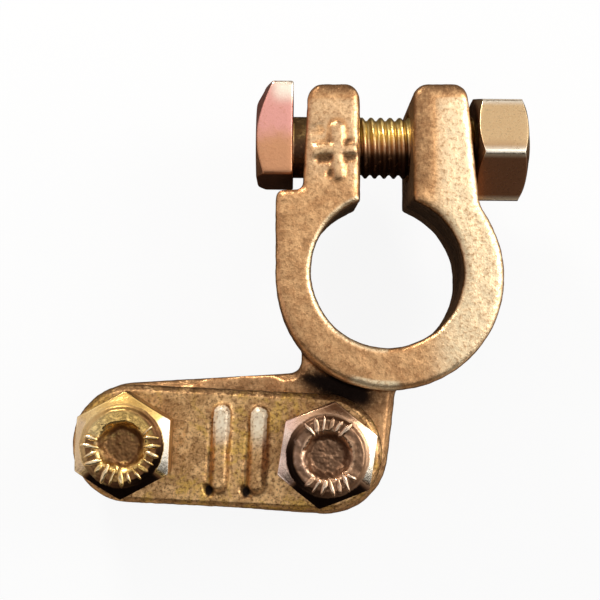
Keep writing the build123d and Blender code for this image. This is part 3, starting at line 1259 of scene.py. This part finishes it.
@dataclass
class ClampBolt:
    """The square-headed bolt and its nut, on the axis that the nut's joint states."""

    thread_depth: float = 0.46
    length: float = 30.5
    plain: float = 2.0
    head_height: float = 4.75
    head_width: float = 12.0
    head_crown: float = 5.6
    head_offset: float = 1.35
    nut_height: float = 6.6
    nut_width: float = 13.0
    nut_crown: float = 6.0
    nut_hole: float = 4.05
    nut_turn: float = 14.0
    # Painted shade and highlights: x and y are places, radii are from the bolt's axis, and front and
    # inner are how much a face looks towards the ring and towards the ear.
    head_end: float = -11.6
    shank_y: float = 17.0
    shank_z: float = 8.0
    whitish_x: Fade = Fade(-15.5, -13.0, 0.8)
    whitish_y: Fade = Fade(20.5, 23.5)
    head_front: Fade = Fade(0.5, 0.9, 0.9)
    neck: float = 3.0
    neck_shade: float = 0.62
    valley_radius: Fade = Fade(3.94, 3.62, 0.35)
    shaded_y: Fade = Fade(-0.2, -2.2, 0.78)
    nut_inner: Fade = Fade(0.75, 0.95, 0.9)
    corner_radius: Fade = Fade(7.05, 7.3, 0.9)

    def __post_init__(self) -> None:
        """Find the nut's seat, in metres, and the direction from head to nut."""
        nut = joint_named("clamp_nut_turn")
        self.seat = Vector(nut["pos_m"])
        self.along = Vector(nut["axis"]).normalized()

    def axis_frame(self, origin: Vector, along: Vector) -> Matrix:
        """Axes on the bolt.

        Args:
            origin: Where they meet.
            along: Direction of their Z.

        Returns:
            The place, whose Y is as near the object's +Y as it can be.
        """
        z = along.normalized()
        y = Vector((0, 1, 0))
        y = (y - z * y.dot(z)).normalized()
        turn = Matrix((y.cross(z), y, z)).transposed().to_4x4()
        return Matrix.Translation(origin) @ turn

    def build(self) -> bpy.types.Object:
        """Build and dress the bolt."""
        tip_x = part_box("clamp_bolt")[1].x
        tip = self.seat + self.along * ((tip_x - self.seat.x) / self.along.x)
        backwards = self.axis_frame(tip - self.along * self.length * MM, -self.along)
        head_finish, thread_finish = Finish.BOLT_HEAD.material(), Finish.THREAD.material()
        outline = Polygon(4, self.head_width, sharpness=70)
        head = Blank(outline, self.head_height, self.head_crown, edge=0.3,
                     offset=self.head_offset)
        shank = ThreadTree(self.length + SHANK_IN_HEAD, self.thread_depth, self.plain)
        work = bmesh.new()
        add_mesh(work, head.mesh("square_head"),
                 backwards @ Matrix.Translation((0, self.head_offset * MM, 0)))
        add_mesh(work, shank.grow("clamp_shank", thread_finish),
                 backwards @ raised(SHANK_IN_HEAD), 1)
        piece = finish_piece(work, "square_head_bolt", (head_finish, thread_finish))
        paint(piece, self.light_and_grime)
        hand_over(piece, "clamp_bolt", "clamp_bolt_zinc")
        return piece

    def light_and_grime(self, spot: Spot) -> float:
        """How the bolt is painted: shade in its valleys, at its neck and on its side towards the
        ring, and a highlight on the head's corner towards +Y.

        Args:
            spot: A point of the bolt.

        Returns:
            -1 for a full painted highlight, 0 for clean plating, to 1 for black painted shade.
        """
        x, y, z = spot.place
        # The head: painted shade on its face towards the ring, a painted highlight at its corner.
        if x < self.head_end:
            return self.head_front.at(-spot.normal.y) - self.whitish_x.at(x) * self.whitish_y.at(y)
        if x < self.head_end + self.neck:
            return self.neck_shade
        # The thread: painted shade in its valleys and on its side towards the ring.
        radius = math.hypot(y - self.shank_y, z - self.shank_z)
        return max(self.valley_radius.at(radius), self.shaded_y.at(y - self.shank_y))

    def build_nut(self) -> bpy.types.Object:
        """Build and dress the nut."""
        finish = Finish.NUT.material()
        outline = Polygon(6, self.nut_width)
        blank = Blank(outline, self.nut_height, self.nut_crown, edge=0.12, hole=self.nut_hole)
        turn = Matrix.Rotation(math.radians(self.nut_turn) + HALF_SIDE, 4, "Z")
        work = bmesh.new()
        add_mesh(work, blank.mesh("hexagon"), self.axis_frame(self.seat, self.along) @ turn)
        piece = finish_piece(work, "hexagon_nut", (finish,))
        paint(piece, self.nut_light)
        hand_over(piece, "clamp_nut", "clamp_nut_zinc")
        return piece

    def nut_light(self, spot: Spot) -> float:
        """How the nut is painted: shade on its faces by the ear, and a highlight along its corners.

        Args:
            spot: A point of the nut.

        Returns:
            -1 for a full painted highlight, 0 for clean plating, to 1 for black painted shade.
        """
        arm = spot.place - self.seat / MM
        radius = (arm - self.along * arm.dot(self.along)).length
        return self.nut_inner.at(-spot.normal.x) - self.corner_radius.at(radius)


@dataclass
class StrapScrew:
    """A hexagon screw with a dished head and short forged ridges round the dish."""

    side: str
    turn: float
    finish: Finish
    ridges: RidgeTree
    darker_side: float
    tarnish: float
    head_width: float = 12.0
    head_height: float = 5.3
    length: float = 12.0
    thread_depth: float = 0.5
    plain: float = 3.0
    dish: float = 3.35
    dish_floor: float = 1.9
    dish_depth: float = 1.3
    shoulder: float = 4.5
    shoulder_drop: float = 0.5
    crown: float = 5.1
    ridge_sink: float = 0.03
    bump_size: float = 1.2
    bump_height: float = 0.15
    # Where the head changes: radii are from the screw's axis, and heights from its seat.
    forged_z: float = 3.8
    forged_radius: Fade = Fade(5.1, 4.2)
    seat_z: float = 1.0
    shank_shade: float = 0.6
    stray: float = 0.8
    stray_per_mm: float = 0.55
    dish_radius: Fade = Fade(3.45, 2.4, 0.68)
    step_start: float = 4.15
    step_spread: float = 0.6        # how far tarnish spreads the step's grime inwards
    step_end: float = 4.55
    step_outer: Fade = Fade(5.55, 5.35)
    step_mean: float = 0.65
    step_swing: float = 0.35
    rim_inner: Fade = Fade(3.25, 3.55)
    rim_outer: Fade = Fade(4.7, 4.5)
    facet_radius: float = 5.35
    facet_z: float = 3.7
    proud_z: Fade = Fade(5.32, 5.55)
    flank_up: Fade = Fade(0.6, 0.2, 0.5)
    ridge_wave: Fade = Fade(-0.2, 0.3, 0.7)
    # Facets, painted pale as a highlight at the sides and black as shade in front: over how far
    # their place round the screw is to the right, and how far it is ahead.
    pale_side: Fade = Fade(0.78, 0.87)
    pale_left: float = 0.4
    low_side: Fade = Fade(0.50, 0.70)
    ridge_sheen: float = 0.4

    def __post_init__(self) -> None:
        """Find the screw's seat, in metres."""
        self.seat = Vector(joint_named(f"{self.side}_screw_turn")["pos_m"])

    def forged(self, place: Vector) -> float:
        """How rough the head is.

        Args:
            place: A place, in millimetres.

        Returns:
            1 within the head's raised rim and 0 outside it.
        """
        arm = place - self.seat / MM
        if arm.z < self.forged_z:
            return 0.0
        return self.forged_radius.at(math.hypot(arm.x, arm.y))

    def facet_light(self, angle: float, flank: float) -> float:
        """How the facets are painted: pale highlights to the right and left, and black shade in
        front.

        Args:
            angle: Turn about the screw, from +X.
            flank: Painted shade of the facet for its slope alone.

        Returns:
            -1 for a full painted highlight, 0 for clean plating, to 1 for black painted shade.
        """
        ahead, right = -math.sin(angle), math.cos(angle)
        pale = self.pale_side.at(right) + self.pale_left * self.pale_side.at(-right)
        return max(flank, self.low_side.at(ahead)) - pale

    def light_and_grime(self, spot: Spot) -> float:
        """How the screw is painted: darker in its dish and in the step round its raised rim, shade
        on its flanks and below its seat, and highlights on its ridge tops and side facets.

        Args:
            spot: A point of the screw.

        Returns:
            -1 for a full painted highlight, 0 for clean plating, to 1 for black painted shade.
        """
        arm = spot.place - self.seat / MM
        if arm.z < self.seat_z:
            return self.shank_shade
        radius, angle = math.hypot(arm.x, arm.y), math.atan2(arm.y, arm.x)
        flank = self.flank_up.at(spot.normal.z)
        if radius > self.facet_radius and arm.z > self.facet_z:
            return self.facet_light(angle, flank)
        stray = self.stray * noise.noise(spot.place * self.stray_per_mm)
        step = self.step_mean + self.step_swing * math.cos(angle - self.darker_side)
        step *= smooth_step(radius, self.step_start - self.step_spread * self.tarnish,
                            self.step_end)
        step *= self.step_outer.at(radius)
        rim = self.rim_inner.at(radius) * self.rim_outer.at(radius)
        rim *= max(self.ridge_wave.at(self.ridges.wave(angle)), self.tarnish)
        # Tops of the ridges take a painted highlight.
        proud = self.proud_z.at(arm.z)
        darkening = max(self.dish_radius.at(radius + stray), max(step, rim) * (1 - proud), flank)
        return darkening - self.ridge_sheen * proud

    def build(self) -> bpy.types.Object:
        """Build and dress the screw."""
        plating, thread = self.finish.material(), Finish.THREAD.material()
        outline = Polygon(6, self.head_width)
        head = Blank(outline, self.head_height, self.crown, edge=0.15, slope=24.0,
                     shoulder=self.shoulder, shoulder_drop=self.shoulder_drop, dish=self.dish,
                     dish_floor=self.dish_floor, dish_depth=self.dish_depth, rings=56)
        shank = ThreadTree(self.length + SHANK_IN_HEAD, self.thread_depth, self.plain)
        place = Matrix.Translation(self.seat)
        turn = Matrix.Rotation(math.radians(self.turn) + HALF_SIDE, 4, "Z")
        work = bmesh.new()
        add_mesh(work, head.mesh("hexagon_head"), place @ turn)
        add_mesh(work, self.ridges.grow("ridges", plating),
                 place @ raised(self.head_height - self.ridge_sink))
        add_mesh(work, shank.grow(f"{self.side}_shank", thread), place @ raised(SHANK_IN_HEAD), 1)
        piece = finish_piece(work, f"{self.side}_strap_screw", (plating, thread))
        roughen(piece, self.bump_size, self.bump_height, self.turn, self.forged)
        paint(piece, self.light_and_grime)
        hand_over(piece, f"strap_screw_{self.side}", f"{self.side}_screw_zinc")
        return piece


# ---- Stage -----------------------------------------------------------------------------------
@dataclass(frozen=True)
class Card:
    """A flat studio card; it may brighten along X, along Y or outwards, over millimetres."""

    name: str
    corners: tuple[Place, ...]
    level: float
    colour: Colour = (1.0, 1.0, 1.0)
    bright_x: Optional[Fade] = None
    bright_y: Optional[Fade] = None
    bright_out: Optional[Fade] = None

    @classmethod
    def flat(cls, name: str, xs: Span, ys: Span, height: float, **looks: object) -> "Card":
        """A level card.

        Args:
            name: Its name.
            xs: Its left and right edge, in metres.
            ys: Its front and back edge, in metres.
            height: Its height, in metres.
            looks: Its brightness and colour, and where it brightens.

        Returns:
            The card.
        """
        (x0, x1), (y0, y1) = xs, ys
        corners = tuple((x, y, height) for x, y in ((x0, y0), (x1, y0), (x1, y1), (x0, y1)))
        return cls(name, corners, **looks)

    @classmethod
    def upright(cls, name: str, ends: tuple[Span, Span], heights: Span, **looks: object) -> "Card":
        """An upright card.

        Args:
            name: Its name.
            ends: Its two ends in plan, in metres.
            heights: Its lower and upper edge, in metres.
            looks: Its brightness and colour.

        Returns:
            The card.
        """
        (start, end), (low, high) = ends, heights
        corners = ((*start, low), (*end, low), (*end, high), (*start, high))
        return cls(name, corners, **looks)

    def brightness(self, graph: Graph) -> Value:
        """How bright the card is over its face.

        Args:
            graph: The card's own shader graph.

        Returns:
            The brightness.
        """
        x, y, _ = graph.parts(graph.millimetres)
        out = graph.math("SQRT", x * x + y * y)
        total = graph.math("ADD", self.level, 0.0)
        for place, fade in ((x, self.bright_x), (y, self.bright_y), (out, self.bright_out)):
            if fade:
                total = total + place.rise(fade.start, fade.end) * fade.full
        return total


@dataclass
class Stage:
    """Pale floor, soft lamps, studio cards and the camera."""

    floor_z: float = -7.2
    ground_gap: float = 0.2         # the ground card floats just above the floor
    floor_size: float = 3.0
    floor_grey: float = 0.92
    floor_glow: float = 0.9
    world_level: float = 0.5
    focal_px: float = 1069.0
    picture_px: float = 600.0
    axis_px: Span = (296.0, 376.0)
    camera_at: Place = (-0.0113, -0.0129, 0.147)
    sensor: float = 36.0
    lamps_aim: Place = (-0.011, -0.006, 0.005)
    warm: Colour = (1.0, 0.80, 0.62)
    rosy: Colour = (1.0, 0.86, 0.84)
    daylight: Colour = (1.0, 0.97, 0.92)
    lamplight: Colour = (1.0, 0.96, 0.90)

    def add_camera(self) -> None:
        """Set the camera: it looks down the post's axis, which vanishes at axis_px."""
        middle = self.picture_px / 2
        toward = Vector((self.axis_px[0] - middle, self.axis_px[1] - middle, self.focal_px))
        up_post = -toward.normalized()
        x = Vector((1, 0, 0))
        x = (x - up_post * x.dot(up_post)).normalized()
        right, down, ahead = Matrix((x, up_post.cross(x), up_post)).transposed()
        turn = Matrix((right, -down, -ahead)).transposed().to_4x4()
        lens = bpy.data.cameras.new("camera")
        lens.sensor_width = self.sensor
        lens.lens = self.focal_px * self.sensor / self.picture_px
        lens.clip_start = 0.01
        camera = bpy.data.objects.new("camera", lens)
        camera.matrix_world = Matrix.Translation(self.camera_at) @ turn
        bpy.context.scene.collection.objects.link(camera)
        bpy.context.scene.camera = camera

    def add_lamp(self, name: str, place: Place, size: float, power: float,
                 colour: Colour) -> None:
        """Add a square area lamp that faces the clamp.

        Args:
            name: Its name.
            place: Where it is, in metres.
            size: Its side, in metres.
            power: In watts.
            colour: Its colour.
        """
        data = bpy.data.lights.new(name, "AREA")
        data.size, data.energy, data.color = size, power, colour
        lamp = bpy.data.objects.new(name, data)
        lamp.location = place
        aim = Vector(self.lamps_aim) - Vector(place)
        lamp.rotation_euler = aim.to_track_quat("-Z", "Y").to_euler()
        bpy.context.scene.collection.objects.link(lamp)

    def seen(self, nodes: Nodes) -> Value:
        """1 for camera, glossy and transmission rays, which see the white studio."""
        camera, glossy, through = (nodes.value("ShaderNodeLightPath", {}, f"Is {kind} Ray")
                                   for kind in ("Camera", "Glossy", "Transmission"))
        return nodes.math("MAXIMUM", nodes.math("MAXIMUM", camera, glossy), through)

    def add_floor(self) -> None:
        """Add the pale floor, which glows for the camera."""
        mesh = bpy.data.meshes.new("floor")
        work = bmesh.new()
        bmesh.ops.create_grid(work, x_segments=1, y_segments=1, size=self.floor_size)
        work.to_mesh(mesh)
        work.free()
        mesh.transform(raised(self.floor_z))
        graph = Graph("pale_floor")
        paper = graph.value("ShaderNodeBsdfPrincipled", {
            "Base Color": (self.floor_grey,) * 3, "Roughness": 0.9, "Specular IOR Level": 0.1})
        glow = graph.value("ShaderNodeEmission", {})
        share = self.seen(graph) * self.floor_glow
        mesh.materials.append(graph.close("ShaderNodeMixShader", {0: share, 1: paper, 2: glow}))
        new_piece("floor", mesh)

    def add_world(self) -> None:
        """Soft light from all round, which the camera and polished metal see as white."""
        world = bpy.data.worlds.new("studio")
        bpy.context.scene.world = world
        world.use_nodes = True
        nodes = Nodes(world.node_tree)
        strength = nodes.value("ShaderNodeMapRange", {
            "Value": self.seen(nodes), "To Min": self.world_level, "To Max": 1.0})
        back = world.node_tree.nodes["Background"]
        nodes.feed(back.inputs["Strength"], strength)
        nodes.feed(back.inputs["Color"], (1.0, 1.0, 1.0))

    def add_card(self, card: Card) -> None:
        """Add a card that only shows as a reflection in the metal.

        Args:
            card: The card.
        """
        mesh = bpy.data.meshes.new(card.name)
        mesh.from_pydata(card.corners, [], [tuple(range(len(card.corners)))])
        graph = Graph(card.name)
        mesh.materials.append(graph.close("ShaderNodeEmission", {
            "Color": card.colour, "Strength": card.brightness(graph)}))
        piece = new_piece(card.name, mesh)
        piece.visible_camera = False
        piece.visible_diffuse = False
        piece.visible_shadow = False
        piece.visible_transmission = False

    def cards(self) -> list[Card]:
        """The cards round the clamp, which give its plating and brass something to reflect."""
        ground, top = (self.floor_z + self.ground_gap) * MM, 0.2
        side, overhead = (-0.12, 0.12), (-0.22, 0.25)
        front, back = ((-0.3, -0.13), (0.3, -0.13)), ((-0.3, 0.30), (0.3, 0.30))
        left, right = ((-0.22, -0.2), (-0.22, 0.3)), ((0.26, -0.2), (0.26, 0.3))
        return [
            Card.flat("ground_card", side, side, ground, level=0.04, colour=self.warm,
                      bright_out=Fade(55.0, 110.0, 0.9)),
            Card.flat("overhead_card", overhead, (-0.05, 0.13), top, level=0.29,
                      bright_x=Fade(4.0, 40.0, 0.56), bright_y=Fade(-5.0, 65.0, 0.82)),
            Card.flat("top_card", overhead, (0.13, 0.26), top, level=0.5, colour=self.warm),
            Card.upright("front_low_card", front, (ground, 0.08), level=0.13, colour=self.warm),
            Card.upright("front_high_card", front, (0.08, 0.24), level=0.02, colour=self.warm),
            Card.upright("back_card", back, (ground, 0.16), level=0.16, colour=self.warm),
            Card.upright("left_card", left, (ground, 0.20), level=0.6, colour=self.rosy),
            Card.upright("right_card", right, (0.06, 0.24), level=2.4, colour=self.daylight),
        ]

    def build(self) -> None:
        """Set the whole stage."""
        bpy.context.scene.view_settings.view_transform = "Standard"
        self.add_floor()
        self.add_world()
        for card in self.cards():
            self.add_card(card)
        self.add_lamp("key", (0.17, 0.06, 0.16), size=0.10, power=0.18, colour=self.daylight)
        self.add_lamp("rim", (-0.09, 0.19, 0.112), size=0.05, power=0.30, colour=self.lamplight)
        self.add_camera()


def main() -> None:
    """Build every piece of the clamp and its stage."""
    logging.basicConfig(level=logging.INFO)
    bolt = ClampBolt()
    left = StrapScrew("left", 28.0, Finish.LEFT_SCREW,
                      RidgeTree(24, lobes=1.0, phase=-math.pi, bare=-0.45, seed=5),
                      darker_side=math.radians(-40), tarnish=0.12)
    right = StrapScrew("right", 21.0, Finish.RIGHT_SCREW,
                       RidgeTree(26, lobes=2.0, phase=-math.pi / 2, bare=0.1, seed=9),
                       darker_side=math.radians(200), tarnish=0.60)
    for build in (Casting().build, CableStrap().build, bolt.build, bolt.build_nut, left.build,
                  right.build):
        piece = build()
        LOG.info("%s: %d faces", piece.name, len(piece.data.polygons))
    Stage().build()


if __name__ == "__main__":
    main()
